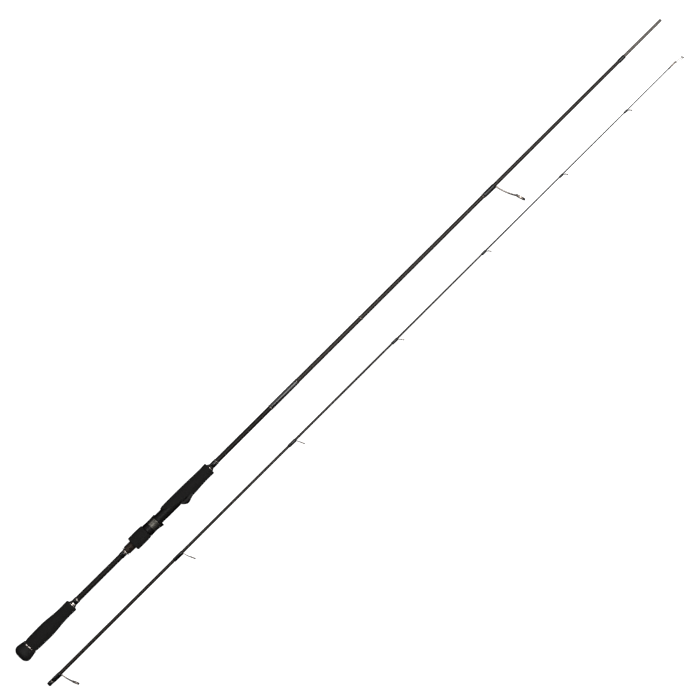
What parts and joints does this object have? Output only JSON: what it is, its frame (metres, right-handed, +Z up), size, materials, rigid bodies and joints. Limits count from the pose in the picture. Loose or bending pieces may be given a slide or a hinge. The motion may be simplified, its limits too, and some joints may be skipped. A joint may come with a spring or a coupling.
{
  "type": "spinning rod",
  "caption": "Two-piece spinning rod taken apart, with foam split grips, a screw-lock reel seat and stand-off line guides along both sections.",
  "frame": {"origin": "on the surface that the two sections lie on, under the centre of the bounding box", "axes": "+X along the rod from the butt cap to the tip, +Z up, the guides point towards -Y"},
  "size_m": [1.262, 0.099, 0.0262],
  "materials": {
    "eva_foam": "matte",
    "cap_rubber": "matte",
    "carbon_blank": "satin",
    "coated_thread": "gloss",
    "metallic_thread": "gloss",
    "polished_metal": "polished",
    "steel_frame": "polished",
    "ceramic_ring": "polished",
    "seat_plastic": "gloss",
    "gunmetal_hood": "satin",
    "spring_steel": "satin",
    "arbor_foam": "matte"
  },
  "bodies": {
    "butt_section": {"rear_grip": "eva_foam", "foregrip": "eva_foam", "rear_grip_wrap": "coated_thread", "seat_rear_wrap": "coated_thread", "foregrip_wrap": "coated_thread", "label_coat": "coated_thread", "stripper_guide_wrap": "coated_thread", "ferrule_wrap": "coated_thread", "rear_grip_wrap_trim": "metallic_thread", "seat_rear_wrap_trim": "metallic_thread", "foregrip_wrap_trim": "metallic_thread", "label_rear_trim": "metallic_thread", "label_front_trim": "metallic_thread", "blank_trim_band": "metallic_thread", "stripper_guide_wrap_trim": "metallic_thread", "butt_cap_ring": "polished_metal", "rear_grip_winding_check": "polished_metal", "seat_rear_winding_check": "polished_metal", "foregrip_winding_check": "polished_metal", "stripper_guide_frame": "steel_frame", "stripper_guide_ring": "ceramic_ring", "butt_cap": "cap_rubber", "butt_blank": "carbon_blank", "reel_seat_body": "seat_plastic", "seat_arbor_rear": "arbor_foam", "seat_arbor_front": "arbor_foam"},
    "hood": {"moving_hood": "seat_plastic", "moving_hood_shell": "gunmetal_hood"},
    "nut": {"lock_nut": "seat_plastic", "lock_nut_grip": "eva_foam", "hood_retaining_ring": "spring_steel"},
    "tip_section": {"tip_blank": "carbon_blank", "tip_base_wrap": "coated_thread", "tip_base_wrap_trim": "metallic_thread", "tip_top_wrap": "coated_thread", "tip_top_frame": "steel_frame", "tip_top_ring": "ceramic_ring", "guide_1_wrap": "coated_thread", "guide_1_frame": "steel_frame", "guide_1_ring": "ceramic_ring", "guide_2_wrap": "coated_thread", "guide_2_frame": "steel_frame", "guide_2_ring": "ceramic_ring", "guide_3_wrap": "coated_thread", "guide_3_frame": "steel_frame", "guide_3_ring": "ceramic_ring", "guide_4_wrap": "coated_thread", "guide_4_frame": "steel_frame", "guide_4_ring": "ceramic_ring", "guide_5_wrap": "coated_thread", "guide_5_frame": "steel_frame", "guide_5_ring": "ceramic_ring", "guide_6_wrap": "coated_thread", "guide_6_frame": "steel_frame", "guide_6_ring": "ceramic_ring", "guide_7_wrap": "coated_thread", "guide_7_frame": "steel_frame", "guide_7_ring": "ceramic_ring"}
  },
  "joints": [
    {"name": "hood_slide", "type": "slide", "parent": "butt_section", "child": "hood", "axis": [1, 0, -0.0058], "range_m": [-0.011, 0.007]},
    {"name": "nut_spin", "type": "hinge", "parent": "hood", "child": "nut", "pos_m": [-0.39498, 0.03635, 0.0118], "axis": [1, 0, -0.0058], "range_deg": [-1980, 1260]},
    {"name": "tip_section_lift", "type": "slide", "parent": "butt_section", "child": "tip_section", "axis": [0, 0, 1], "range_m": [0, 0.15]}
  ],
  "couplings": [
    {"joint": "nut_spin", "follows": "hood_slide", "rad_per_m": 3141.6}
  ]
}
